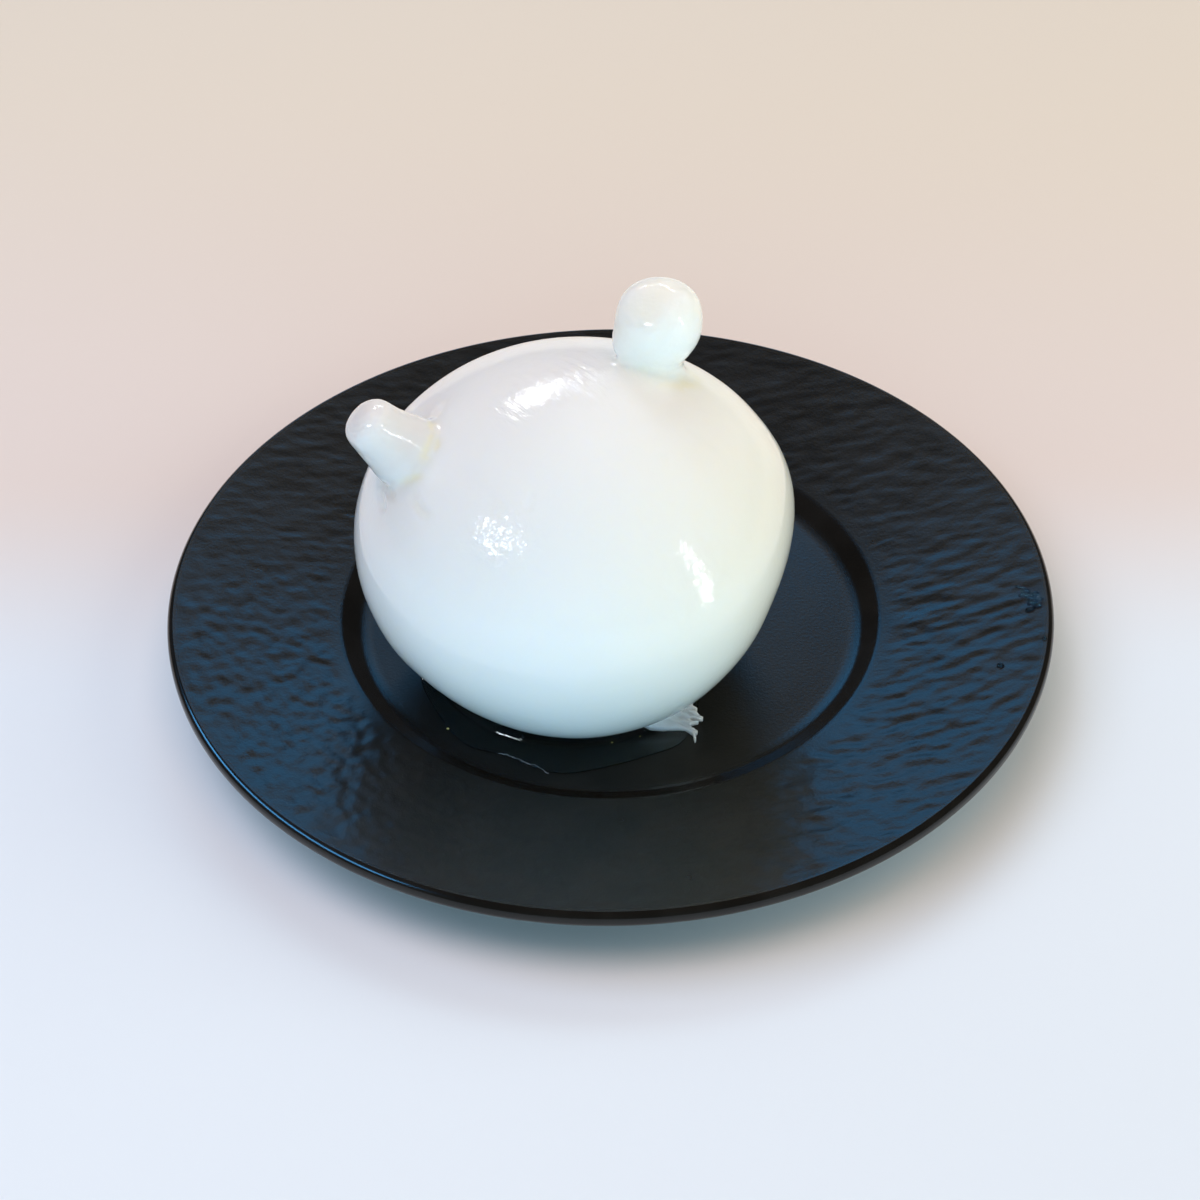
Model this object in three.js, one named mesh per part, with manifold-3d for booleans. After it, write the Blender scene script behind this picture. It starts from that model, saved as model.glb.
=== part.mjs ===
// A ball of buffalo mozzarella with two pulled knobs, lying in a little whey in a shallow dark dish.
// Millimetres, +Z up, the origin under the middle of the dish's foot.

import * as THREE from "three";
import { mergeVertices } from "three/addons/utils/BufferGeometryUtils.js";
import Module from "manifold-3d";

// Dish: heights are over the table
const DISH_RADIUS = 110.6;
const DISH_HEIGHT = 20;
const DISH_SIDES = 80;
const LIP_THICKNESS = 4.2;
const LIP_ROUND = 1.2;
const RIM_EDGE_HEIGHT = 12.8;
const WELL_RADIUS = 67;
const COVE_WIDTH = 7;
const COVE_RISE = 2.6;
const FLOOR_RADIUS = 59.6;
const FLOOR_HEIGHT = 10;
const BASE_THICKNESS = 5;
const FOOT_OUTER_RADIUS = 57;
const FOOT_WIDTH = 4.5;
const FOOT_CHAMFER = 0.8;
const RIM_THICKNESS = 4.8;
const WELL_EDGE_WIDTH = 0.7;

// Ball of cheese: an ellipsoid sagging on the dish's floor, with broad pushes in its skin
const BALL_CENTRE = new THREE.Vector3(-7.4, -15, 49.8);
const BALL_SEMI_AXES = new THREE.Vector3(53.6, 52.3, 43.3);
const BALL_SEGMENTS = 60;
const BALL_RINGS = 36;
const BALL_PUSHES = [
  { toward: [0.94, -0.23, -0.26], depth: -3.9, reach: 45 },
  { toward: [-0.05, -0.75, -0.66], depth: 1.3, reach: 40 },
];
const REST_GAP = 0.1;

// Knobs: lengths run along the axis from the base point on the skin
const KNOB_SIDES = 26;
const ROUND_KNOB = {
  base: [11.4, -0.6, 88],
  axis: [0.05, 0, 1],
  root: 5,
  foot: 9.2,
  neck: 6,
  neckAt: 3.2,
  head: 10,
  headAt: 12.4,
  length: 22,
  crownPower: 2.3,
};
const STUB_KNOB = {
  base: [-45.5, -20, 78.1],
  axis: [-0.66, -0.1, 0.74],
  root: 5,
  foot: 11.5,
  neck: 8.7,
  neckAt: 3.5,
  head: 6.9,
  headAt: 12.5,
  length: 17.7,
  crownPower: 2.2,
};

// Torn flap: a thin tongue floating out from under the ball over the whey, its edge ending in strands
const FLAP_ANGLE = THREE.MathUtils.degToRad(-52);
const FLAP_INNER = 20;
const FLAP_REACH = 35.8;
const FLAP_SIDES = [-6.5, 8.5];
const FLAP_SHOULDER = 4;
const FLAP_STRANDS = [
  { across: 0.6, width: 1.4, reach: 42 },
  { across: 2.9, width: 2.6, reach: 40.8 },
  { across: 5.1, width: 1.2, reach: 38.6 },
  { across: 6.9, width: 1.8, reach: 38.2 },
];
const FLAP_THICKNESS = 1.5;
const STRAND_TIP = 1;

// Whey: a thin pool drained from the cheese, over the dish's floor
const WHEY_DEPTH = 1;
const WHEY_EDGE_ROUND = 0.45;
const WHEY_SIDES = 56;
const CUT_GAP = 0.3;
const WHEY_OUTLINE = [
  [-47, -20],
  [-44, -32],
  [-36, -45.5],
  [-26, -50.2],
  [-14, -56.2],
  [-4, -55.2],
  [9, -50.8],
  [17, -46],
  [21, -34],
  [22, -18],
  [14, 4],
  [-6, 13],
  [-27, 8],
  [-41, -5],
];

const LATHE_AXIS = new THREE.Vector3(0, 1, 0);
const WELD_DISTANCE = 1e-4;

const wasm = await Module();
wasm.setup();

// Solids for joining and cutting, and meshes made from them

function toSolid(geometry) {
  const bare = geometry.clone();
  bare.deleteAttribute("normal");
  bare.deleteAttribute("uv");
  const merged = mergeVertices(bare, WELD_DISTANCE);
  return new wasm.Manifold(
    new wasm.Mesh({
      numProp: 3,
      vertProperties: Float32Array.from(merged.attributes.position.array),
      triVerts: Uint32Array.from(merged.index.array),
    }),
  );
}

function toGeometry(solid) {
  const mesh = solid.getMesh();
  const geometry = new THREE.BufferGeometry();
  geometry.setAttribute("position", new THREE.BufferAttribute(mesh.vertProperties, 3));
  geometry.setIndex(new THREE.BufferAttribute(mesh.triVerts, 1));
  geometry.computeVertexNormals();
  return geometry;
}

// Points of an arc in a turned profile, angles in degrees from the outward direction
function arc(centreX, centreY, radius, from, to, steps) {
  const points = [];
  for (let i = 0; i <= steps; i += 1) {
    const angle = THREE.MathUtils.degToRad(from + ((to - from) * i) / steps);
    points.push(new THREE.Vector2(centreX + radius * Math.cos(angle), centreY + radius * Math.sin(angle)));
  }
  return points;
}

// Closed profile of the dish: floor, cove, sloping rim, rounded lip, underside and foot
function dishProfile() {
  const coveSlope = 2 * Math.atan(COVE_RISE / COVE_WIDTH);
  const coveRadius = COVE_WIDTH / Math.sin(coveSlope);
  const coveEnd = -90 + THREE.MathUtils.radToDeg(coveSlope);
  const lipTop = DISH_HEIGHT - LIP_ROUND;
  const lipBottom = DISH_HEIGHT - LIP_THICKNESS + LIP_ROUND;
  const lipCentre = DISH_RADIUS - LIP_ROUND;
  const footInner = FOOT_OUTER_RADIUS - FOOT_WIDTH;
  const underside = FLOOR_HEIGHT - BASE_THICKNESS;
  return [
    new THREE.Vector2(0, FLOOR_HEIGHT),
    ...arc(FLOOR_RADIUS, FLOOR_HEIGHT + coveRadius, coveRadius, -90, coveEnd, 4),
    new THREE.Vector2(WELL_RADIUS + WELL_EDGE_WIDTH, RIM_EDGE_HEIGHT),
    ...arc(lipCentre, lipTop, LIP_ROUND, 90, 0, 4),
    ...arc(lipCentre, lipBottom, LIP_ROUND, 0, -80, 3),
    new THREE.Vector2(WELL_RADIUS, RIM_EDGE_HEIGHT - RIM_THICKNESS),
    new THREE.Vector2(FOOT_OUTER_RADIUS, underside),
    new THREE.Vector2(FOOT_OUTER_RADIUS, FOOT_CHAMFER),
    new THREE.Vector2(FOOT_OUTER_RADIUS - FOOT_CHAMFER, 0),
    new THREE.Vector2(footInner + FOOT_CHAMFER, 0),
    new THREE.Vector2(footInner, FOOT_CHAMFER),
    new THREE.Vector2(footInner, underside),
    new THREE.Vector2(0, underside),
  ].reverse();
}

function makeDish() {
  return new THREE.LatheGeometry(dishProfile(), DISH_SIDES).rotateX(Math.PI / 2);
}

// Weight of a push at a distance: one at its middle, easing to nothing at its reach
function easeOff(distance, reach) {
  const t = THREE.MathUtils.clamp(1 - distance / reach, 0, 1);
  return t * t * (3 - 2 * t);
}

// The ball, grown all over by grow, flat where it rests on the floor
function makeBall(grow) {
  const geometry = new THREE.SphereGeometry(1, BALL_SEGMENTS, BALL_RINGS).rotateX(Math.PI / 2);
  const position = geometry.attributes.position;
  const semiAxes = BALL_SEMI_AXES.clone().addScalar(grow);
  const lowest = FLOOR_HEIGHT + REST_GAP - grow;
  const point = new THREE.Vector3();
  for (let i = 0; i < position.count; i += 1) {
    point.fromBufferAttribute(position, i).multiply(semiAxes);
    for (const push of BALL_PUSHES) {
      const direction = new THREE.Vector3(...push.toward).normalize();
      const middle = direction.clone().divideScalar(direction.clone().divide(semiAxes).length());
      const weight = easeOff(point.distanceTo(middle), push.reach);
      point.addScaledVector(direction, push.depth * weight);
    }
    point.add(BALL_CENTRE);
    position.setXYZ(i, point.x, point.y, Math.max(point.z, lowest));
  }
  return geometry;
}

// Half outline of a knob: a flaring foot, a neck, a swelling or tapering body and a domed crown
function knobProfile(knob) {
  const points = [new THREE.Vector2(0, -knob.root)];
  const footSteps = 4;
  for (let i = 0; i <= footSteps; i += 1) {
    const t = i / footSteps;
    const height = -knob.root + (knob.neckAt + knob.root) * t;
    points.push(new THREE.Vector2(knob.neck + (knob.foot - knob.neck) * (1 - t) ** 2, height));
  }
  const bodySteps = 5;
  for (let i = 1; i <= bodySteps; i += 1) {
    const t = i / bodySteps;
    const height = knob.neckAt + (knob.headAt - knob.neckAt) * t;
    const radius = knob.neck + (knob.head - knob.neck) * Math.sin((Math.PI / 2) * t);
    points.push(new THREE.Vector2(radius, height));
  }
  const crownSteps = 6;
  for (let i = 1; i <= crownSteps; i += 1) {
    const t = Math.sin(((Math.PI / 2) * i) / crownSteps);
    const radius = i < crownSteps ? knob.head * (1 - t ** knob.crownPower) ** (1 / knob.crownPower) : 0;
    points.push(new THREE.Vector2(radius, knob.headAt + (knob.length - knob.headAt) * t));
  }
  return points;
}

function makeKnob(knob) {
  const geometry = new THREE.LatheGeometry(knobProfile(knob), KNOB_SIDES);
  const direction = new THREE.Vector3(...knob.axis).normalize();
  const turn = new THREE.Quaternion().setFromUnitVectors(LATHE_AXIS, direction);
  return geometry.applyQuaternion(turn).translate(...knob.base);
}

// The flap's plan runs out along X from the ball's axis and is then turned to its angle
function makeFlap() {
  const [left, right] = FLAP_SIDES;
  const shape = new THREE.Shape();
  shape.moveTo(FLAP_INNER, left);
  shape.lineTo(FLAP_REACH - FLAP_SHOULDER, left);
  for (const strand of FLAP_STRANDS) {
    const half = strand.width / 2;
    shape.lineTo(FLAP_REACH, strand.across - half);
    shape.lineTo(strand.reach - STRAND_TIP, strand.across - half / 2);
    shape.lineTo(strand.reach, strand.across);
    shape.lineTo(strand.reach - STRAND_TIP, strand.across + half / 2);
    shape.lineTo(FLAP_REACH, strand.across + half);
  }
  shape.lineTo(FLAP_REACH - FLAP_SHOULDER, right);
  shape.lineTo(FLAP_INNER, right);
  shape.closePath();
  const geometry = new THREE.ExtrudeGeometry(shape, { depth: FLAP_THICKNESS, bevelEnabled: false });
  const lowest = FLOOR_HEIGHT + REST_GAP + WHEY_DEPTH + CUT_GAP;
  return geometry.rotateZ(FLAP_ANGLE).translate(BALL_CENTRE.x, BALL_CENTRE.y, lowest);
}

// The cheese is one solid: ball, both knobs and the torn flap
function makeMozzarella() {
  let cheese = toSolid(makeBall(0));
  for (const piece of [makeKnob(ROUND_KNOB), makeKnob(STUB_KNOB), makeFlap()]) {
    cheese = cheese.add(toSolid(piece));
  }
  return toGeometry(cheese);
}

// The pool has a rounded edge, and is cut away round the foot of the cheese
function makeWhey() {
  const corners = WHEY_OUTLINE.map(([x, y]) => new THREE.Vector3(x, y, 0));
  const outline = new THREE.CatmullRomCurve3(corners, true).getSpacedPoints(WHEY_SIDES).slice(0, -1);
  const shape = new THREE.Shape(outline.map((corner) => new THREE.Vector2(corner.x, corner.y)));
  const pool = new THREE.ExtrudeGeometry(shape, {
    depth: WHEY_DEPTH - 2 * WHEY_EDGE_ROUND,
    bevelSize: WHEY_EDGE_ROUND,
    bevelThickness: WHEY_EDGE_ROUND,
    bevelOffset: -WHEY_EDGE_ROUND,
    bevelSegments: 2,
  }).translate(0, 0, FLOOR_HEIGHT + REST_GAP + WHEY_EDGE_ROUND);
  return toGeometry(toSolid(pool).subtract(toSolid(makeBall(CUT_GAP))));
}

const dish = new THREE.Mesh(
  makeDish(),
  new THREE.MeshStandardMaterial({ color: 0x1b2229, roughness: 0.55, metalness: 0 }),
);
dish.name = "dish";

const mozzarella = new THREE.Mesh(
  makeMozzarella(),
  new THREE.MeshStandardMaterial({ color: 0xf1f2ec, roughness: 0.18, metalness: 0 }),
);
mozzarella.name = "mozzarella";

const whey = new THREE.Mesh(
  makeWhey(),
  new THREE.MeshStandardMaterial({ color: 0xd9dccb, roughness: 0.05, metalness: 0 }),
);
whey.name = "whey";

const mozzarellaInDish = new THREE.Group();
mozzarellaInDish.add(dish, mozzarella, whey);

export default mozzarellaInDish;
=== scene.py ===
import math
import random

import bmesh
import bpy
from bpy.props import FloatProperty, FloatVectorProperty, IntProperty, PointerProperty
from mathutils import Matrix, Vector, kdtree


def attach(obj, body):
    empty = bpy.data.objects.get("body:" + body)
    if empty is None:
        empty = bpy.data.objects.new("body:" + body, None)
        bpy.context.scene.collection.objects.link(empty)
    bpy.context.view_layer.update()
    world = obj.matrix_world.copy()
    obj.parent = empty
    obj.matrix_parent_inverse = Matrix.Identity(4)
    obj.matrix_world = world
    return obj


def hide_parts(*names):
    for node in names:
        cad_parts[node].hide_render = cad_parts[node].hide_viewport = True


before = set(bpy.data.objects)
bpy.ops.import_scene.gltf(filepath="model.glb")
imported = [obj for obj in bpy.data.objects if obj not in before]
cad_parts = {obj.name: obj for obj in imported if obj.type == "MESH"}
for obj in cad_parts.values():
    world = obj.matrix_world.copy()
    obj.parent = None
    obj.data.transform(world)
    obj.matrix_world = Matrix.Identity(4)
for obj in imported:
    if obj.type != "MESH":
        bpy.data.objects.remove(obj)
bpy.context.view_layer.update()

bl_info = {
    "name": "Buffalo mozzarella in a dish",
    "version": (1, 0, 0),
    "blender": (4, 5, 0),
    "location": "View3D > Sidebar > Mozzarella",
    "description": "Dresses the solids of a mozzarella ball in a dark dish and sets up its studio",
    "category": "Object",
}

MM = 0.001
QUARTER_TURN = math.pi / 2

# Points closer than this are merged, and a picked vertex is found again within this
DOUBLES = 0.005 * MM
SAME_PLACE = 1e-7

# Edges sharper than these angles in degrees keep their line in smooth shading
SHARP_DISH_EDGE = 50
SHARP_WHEY_EDGE = 60

# Seeds move the noise of the ripples by this much, in metres for a seed of 1
SEED_STEP = Vector((0.37, 0.61, 0.23))

# Dish: rows of points along its section, turns of the lip's edge, and the cove beside the foot ring
FLOOR_ROWS = 16
WALL_ROWS = 8
RIM_ROWS = 46
UNDER_ROWS = 8
ARC_STEPS = 8
TUCK_STEPS = 7
LIP_FALL = math.radians(20)
LIP_TUCK = math.radians(80)
COVE_WIDTH = 1 * MM
COVE_RISE = 0.3 * MM
COVE_FALL = 0.2 * MM

# Ripples of the rim: the side they face and its spread in degrees, cell in millimetres, turn in degrees, seed
FRONT_RIPPLES = {
    "front right": (-40, 75, (6.5, 2.5, 9), 12, 0.2),
    "front left": (-140, 70, (3.8, 2.9, 9), -60, 0.5),
}
OTHER_RIPPLES = ((6.5, 2.5, 9), 4, 0.8)

# Depth of the other ripples as a share of those in front, and the share of a side's spread at full depth
OTHER_DEPTH = 0.5
FULL_SPREAD = 0.3

# Where the ripples start after the well and end at the lip, and the slope that tells the rim from its back
RIPPLE_START = 2 * MM
RIPPLE_FADE = 4 * MM
RIPPLE_END = (-2 * MM, 0.3 * MM)
TOP_MARGIN = 0.1 * MM
LEAST_RIM_SLOPE = 0.12

# Smoother glaze: its fade up the well's wall, over the well's edge, and on the lip as a share of its round
WALL_FADE = 2 * MM
EDGE_FADE = (-0.8 * MM, 0.2 * MM)
LIP_FADE = 0.6

# Ball: places in millimetres, measured from the table under the middle of the dish
BALL_CENTRE = Vector((-7.4, -15.0, 49.8)) * MM
BALL_SEMI_AXES = Vector((53.6, 52.3, 43.3)) * MM
BALL_SEGMENTS = 128
BALL_RINGS = 80
REST_GAP = 0.1 * MM

# Pushes on the ball: direction from its middle, depth and reach in millimetres
BALL_PUSHES = (
    ((0.94, -0.23, -0.26), -3.9, 45),
    ((-0.05, -0.75, -0.66), 1.3, 40),
)

# Dent behind the stub knob: place, move and reach in millimetres
STUB_DENT = ((-43.2, -10.0, 81.7), (0.78, -0.13, -1.04), 9)

# Knobs: lengths in millimetres run along the axis from the base point on the skin, and pushes come first
ROUND_KNOB = {
    "base": (11.4, -0.6, 88.0),
    "axis": (0.05, 0.0, 1.0),
    "root": 5.0,
    "foot": 9.2,
    "neck": 6.0,
    "neck_at": 3.2,
    "head": 10.0,
    "head_at": 12.4,
    "length": 22.0,
    "crown_power": 2.7,
    "pushes": (
        ((-4.0, -4.5, 21.0), (0.3, 0.6, -1.5), 7),
        ((4.5, -2.0, 21.5), (0.3, 0.0, 0.7), 4),
        ((-9.5, -2.0, 10.0), (-0.4, 0.0, -1.6), 9),
        ((-6.0, -2.0, 3.5), (-3.0, -0.5, 0.5), 9),
    ),
}
STUB_KNOB = {
    "base": (-45.5, -20.0, 78.1),
    "axis": (-0.66, -0.1, 0.74),
    "root": 5.0,
    "foot": 11.5,
    "neck": 8.7,
    "neck_at": 3.5,
    "head": 6.9,
    "head_at": 12.5,
    "length": 17.7,
    "crown_power": 2.2,
    "pushes": (
        ((3.0, -4.0, 17.0), (0.4, -0.6, 0.3), 6),
        ((-5.5, -3.5, 14.0), (0.5, 0.4, -0.5), 5),
    ),
}
KNOB_SIDES = 64
FLARE_STEPS = 8
BODY_STEPS = 10
CROWN_STEPS = 12

# Soft spots on the skin: strength, place and reach in millimetres
STUB_BASE = ((2.0, (-40.0, -23.0, 82.5), 13),)
KNOB_BASE = ((2.0, (4.5, -6.0, 91.0), 12),)
TOP_RIPPLES = ((1.0, (-8.0, -13.5, 93.0), 24),)
SIDE_RIPPLES = ((1.0, (-24.5, -50.8, 78.1), 14), (1.0, (19.8, -53.4, 69.2), 20))
STUB_RIPPLES = ((1.0, (-45.5, -20.0, 78.1), 14), (0.7, (-52.5, -21.0, 86.1), 16))
WRINKLES = ((0.65, (-17.7, -19.4, 92.1), 16), (0.90, (-3.6, -11.5, 93.0), 17))
PEBBLES = (
    (0.80, (-24.5, -50.8, 78.1), 17),
    (0.25, (18.5, -54.5, 68.0), 19),
    (0.30, (12.0, -0.6, 100.4), 24),
    (0.30, (-54.0, -24.0, 86.0), 15),
)
LEAST_PEBBLE = 0.05
# Painted shade: the first spot darkens the stub's colour, and the second gives the round knob cream that is
# partly painted shade
STUB_PAINTED_SHADE = ((2.0, (-51.5, -21.0, 84.6), 17),)
KNOB_CREAM_AND_PAINTED_SHADE = ((2.0, (12.0, -0.6, 101.0), 18),)

# Swells fade in over these heights above the dish's floor
SWELL_RISE = (2 * MM, 14 * MM)

# Depth of the ripples on the stub, and of those at the sides as a share of the wrinkles on top
STUB_RIPPLE_DEPTH = 0.5 * MM
SIDE_RIPPLE_SHARE = 0.55

# Rounds of smoothing all over and round the foot of each knob
SKIN_SMOOTHING = 8
STUB_SMOOTHING = 70
KNOB_SMOOTHING = 50

# Cream grows to the right over a reach, leaning with depth, and covers part of the round knob, where it is
# partly cream tone and partly painted shade that dulls the knob
CREAM_REACH = 60 * MM
CREAM_LEAN = 0.3
KNOB_CREAM_AND_SHADE_SHARE = 0.65

# Stained ring at the round knob's foot: strength, radius, drop, spreads, and its run from left to right
COLLAR_STAIN = 0.55
COLLAR_RADIUS = 9.5 * MM
COLLAR_DROP = 1.0 * MM
COLLAR_WIDTH = 2.2 * MM
COLLAR_HEIGHT = 3.0 * MM
COLLAR_RUN = (-10 * MM, 22 * MM)

# Creases in the skin: depth, width, stain from 0 to 1, and the points they run through
CREASES = (
    (
        (0.22, 1.6, 0.0),
        ((-35.5, -29.6, 84.6), (-32.0, -35.4, 84.4), (-27.4, -41.7, 83.3), (-22.9, -46.7, 81.9)),
    ),
    ((0.14, 1.1, 0.0), ((-4.5, -37.2, 88.9), (-2.0, -35.4, 89.4), (0.7, -33.9, 89.6))),
    ((0.14, 1.1, 0.0), ((18.5, -23.7, 87.0), (21.9, -24.4, 85.2), (25.3, -25.7, 83.0))),
    ((0.75, 0.9, 0.0), ((-53.4, -22.7, 71.1), (-52.6, -27.2, 70.8), (-51.9, -31.1, 70.0))),
    ((0.80, 1.0, 0.0), ((-54.0, -19.0, 71.0), (-51.6, -25.5, 72.6), (-48.7, -31.0, 74.0))),
    (
        (0.55, 1.0, 0.1),
        ((-45.2, -31.8, 77.2), (-44.1, -34.7, 76.8), (-42.7, -37.7, 76.4), (-39.6, -41.7, 76.4)),
    ),
    (
        (0.18, 0.8, 0.55),
        (
            (-41.4, -16.0, 83.3),
            (-42.1, -19.1, 82.6),
            (-42.5, -22.7, 81.9),
            (-41.9, -26.0, 81.7),
            (-40.7, -28.9, 81.8),
        ),
    ),
    ((0.15, 0.7, 0.5), ((-39.2, -22.2, 84.1), (-38.9, -24.3, 84.0), (-39.6, -25.6, 83.3))),
    ((0.25, 0.8, 0.5), ((-48.0, -27.4, 76.1), (-45.2, -29.0, 78.3), (-42.1, -30.5, 80.2))),
    ((0.30, 0.8, 0.0), ((-18.2, -47.4, 82.8), (-17.7, -45.1, 84.2), (-17.1, -42.8, 85.6))),
    ((0.25, 0.7, 0.0), ((11.2, -32.4, 87.8), (11.9, -34.1, 86.9), (12.6, -35.8, 86.0))),
    (
        (0.10, 0.9, 0.0),
        ((-46.5, -48.5, 60.2), (-44.3, -49.4, 63.1), (-41.8, -50.2, 65.6), (-37.1, -51.0, 70.1)),
    ),
)

# Steps between a crease's points, share of its length that fades at each end, and reach and stain in widths
CREASE_STEPS = 20
CREASE_FADE = 0.25
CREASE_REACH = 3
STAIN_SPREAD = 1.3

# Torn flap: its plan, running out from under the ball and ending in strands
FLAP_OUTLINE = (
    (-2.0, -34.0), (2.5, -39.5), (6.2, -43.2), (9.0, -44.3), (12.6, -44.2), (15.6, -44.0), (17.2, -44.3),
    (18.4, -45.1), (19.2, -46.0), (19.4, -47.4), (19.6, -48.2), (20.0, -48.1), (19.9, -47.0), (19.9, -46.1),
    (20.5, -45.5), (19.8, -44.6), (19.0, -43.6), (18.7, -42.9), (19.6, -42.6), (20.7, -42.3), (20.8, -41.8),
    (19.6, -41.9), (18.9, -41.6), (18.6, -40.9), (19.6, -40.6), (20.8, -41.1), (21.7, -41.2), (22.0, -40.7),
    (21.2, -39.8), (20.4, -38.9), (19.9, -38.1), (20.7, -37.7), (20.3, -37.1), (19.5, -36.6), (19.7, -35.6),
    (18.8, -34.6), (15.0, -30.0), (6.0, -27.0),
)

# Flap: lift over the whey, mesh, the fold that climbs to the ball, and the ripples of the torn end
FLAP_LIFT = 0.3 * MM
FLAP_VOXEL = 0.2 * MM
FLAP_SMOOTHING = 5
FOLD_HEIGHT = 4 * MM
FOLD_REACH = (25 * MM, 36 * MM)
TORN_DEPTH = 1.6 * MM
TORN_REACH = (8 * MM, 18 * MM)

# Whey: the pool's plan over the dish's floor, the steps between its points, and rounds of smoothing
WHEY_OUTLINE = (
    (-47.0, -20.0), (-44.0, -32.0), (-36.0, -45.5), (-26.0, -50.2), (-14.0, -56.2), (-4.0, -55.2),
    (9.0, -50.8), (17.0, -46.0), (21.0, -34.0), (22.0, -18.0), (14.0, 4.0), (-6.0, 13.0),
    (-27.0, 8.0), (-41.0, -5.0),
)
WHEY_STEPS = 10
WHEY_SMOOTHING = 5

# Edge of the deeper puddle, as a share of the ball's half widths, how that changes with x in millimetres, and
# the shares over which the edge slopes and the whey climbs at the cheese
PUDDLE_EDGE = 0.6125
PUDDLE_LEAN = -0.0015
PUDDLE_SLOPE = 0.012
CLIMB = (0.52, 0.66)
CLIMB_POWER = 1.5

# Drops on the rim: place in plan, half length, half width and turn in degrees
SPLASH_LOBES = (
    (102.3, -2.0, 0.9, 0.35, -40),
    (103.9, -3.5, 1.5, 0.55, -38),
    (103.2, -5.6, 1.4, 0.7, -20),
    (104.8, -6.4, 1.5, 0.9, -25),
    (106.1, -5.7, 1.1, 0.8, 35),
    (106.5, -7.9, 1.2, 1.1, 0),
    (104.9, -8.6, 1.5, 1.3, 60),
    (105.9, -9.9, 1.2, 0.8, -10),
    (104.2, -10.9, 1.5, 0.8, 25),
)
SINGLE_DROPS = (
    (94.4, -30.2, 0.95, 0.75, -10),
    (106.0, -22.5, 0.7, 0.55, 0),
)

# Drops: lift of the middle over the rim, height as a share of the half width, and mesh
DROP_LIFT = 0.12 * MM
DROP_FLATNESS = 0.85
DROP_SEGMENTS = 24
DROP_RINGS = 16
DROP_VOXEL = 0.12 * MM
DROP_SMOOTHING = 4

# Dried line at the edge of the whey: its points, stray and thickness in millimetres
DRIED_LINE = (
    (-27.5, -49.6), (-25.6, -49.8), (-23.2, -51.0), (-20.5, -52.8), (-18.4, -53.8), (-16.5, -55.5),
    (-14.8, -56.6),
)
LINE_STEPS = 4
LINE_STRAY = 0.25
LINE_LIFT = 0.12 * MM
LINE_RADIUS = (0.06, 0.2)
LINE_FLATNESS = 0.6

# Specks of curd: place and radius in millimetres, stretch, widest turn, lift off the floor, and rough skin
CURD_SPECKS = ((-39.8, -40.8, 0.28), (-0.2, -46.4, 0.22), (6.6, -44.5, 0.16))
SPECK_SHAPE = (1.2, 0.9, 0.7)
SPECK_TURN = 3
SPECK_LIFT = 0.1
SPECK_RISE = 0.6
SPECK_ROUGHNESS = 0.15 * MM
SPECK_CELL = (0.2, 0.2, 0.2)
RESIDUE_SEED = 5

# Studio lights: place, width and height in metres, and the glow of the face
ROOM_LIGHTS = (
    ("key", (-0.75, 0.0, 1.15), (0.9, 0.9), (1.2, 1.35, 1.9)),
    ("overhead", (0.0, -0.45, 1.5), (1.4, 0.8), (2.5, 1.4, 0.8)),
    ("front", (0.0, -1.3, 0.32), (2.2, 0.6), (1.7, 3.0, 3.8)),
    ("right wall", (1.4, 0.0, 0.75), (1.8, 1.1), (2.0, 2.1, 1.9)),
    ("back low", (0.0, 1.5, 0.22), (2.4, 0.3), (2.6, 2.9, 3.2)),
    ("back top", (0.0, 0.9, 1.2), (1.0, 0.4), (2.8, 3.8, 4.5)),
)
FLOOR_LIGHTS = (("fill", (-0.9, -0.2, 1.6), (1.6, 1.6), (1.25, 1.6, 2.15)),)
SKIN_LIGHTS = (
    ("window", (-0.24, 0.78, 0.74), (0.16, 0.14), (20, 21, 22)),
    ("ridge", (0.05, 1.1, 0.80), (0.55, 0.08), (7, 8, 9)),
)
SPARK_LIGHTS = (
    ("spark", (-0.58, -0.42, 0.76), (0.30, 0.11), (28, 31, 34)),
    ("strip", (0.86, -0.50, 0.33), (0.035, 0.75), (24, 25, 26)),
)
GLAZE_LIGHTS = (
    ("cool wall", (-0.05, 1.4, 0.83), (0.82, 0.50), (0.35, 1.8, 3.7)),
    ("warm strip", (0.05, 1.2, 1.15), (0.5, 0.2), (1.5, 0.9, 0.1)),
)
LIP_LIGHTS = (("lip glow", (-1.0, -0.1, 0.74), (1.4, 0.24), (2.5, 11.0, 23.0)),)
DROP_LIGHTS = (("glint", (-0.3, 1.0, 0.9), (0.14, 0.14), (80, 220, 380)),)
LIGHT_TARGET = (0, 0, 0.04)

# Groups of lights with the pieces that they reach, and the groups that shade as well as shine
DROP_PIECES = ("splash", "drop_0", "drop_1")
CHEESE_PIECES = ("mozzarella_ball", "mozzarella_flap", "whey_pool")
LIT_PIECES = {
    "floor": (FLOOR_LIGHTS, ("floor",)),
    "skin": (SKIN_LIGHTS, CHEESE_PIECES),
    "sparks": (SPARK_LIGHTS, CHEESE_PIECES),
    "glaze": (GLAZE_LIGHTS, ("glazed_dish", "whey_pool", *DROP_PIECES, "dried_line")),
    "lip": (LIP_LIGHTS, ("glazed_dish", *DROP_PIECES)),
    "drops": (DROP_LIGHTS, DROP_PIECES),
}
SHADING_GROUPS = ("floor", "skin")

# Floor in metres: its size, where its colours change from front to back, and the lean of the second change;
# these colours are painted light, cool in front and warm at the back
FLOOR_SIZE = 12
FRONT_CHANGE = (-0.02, 0.075)
BACK_CHANGE = (0.06, 0.28)
BACK_LEAN = 0.1

# Camera: width of its sensor in millimetres, and the nearest distance that it sees
SENSOR_WIDTH = 36
CLIP_START = 10 * MM


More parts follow.
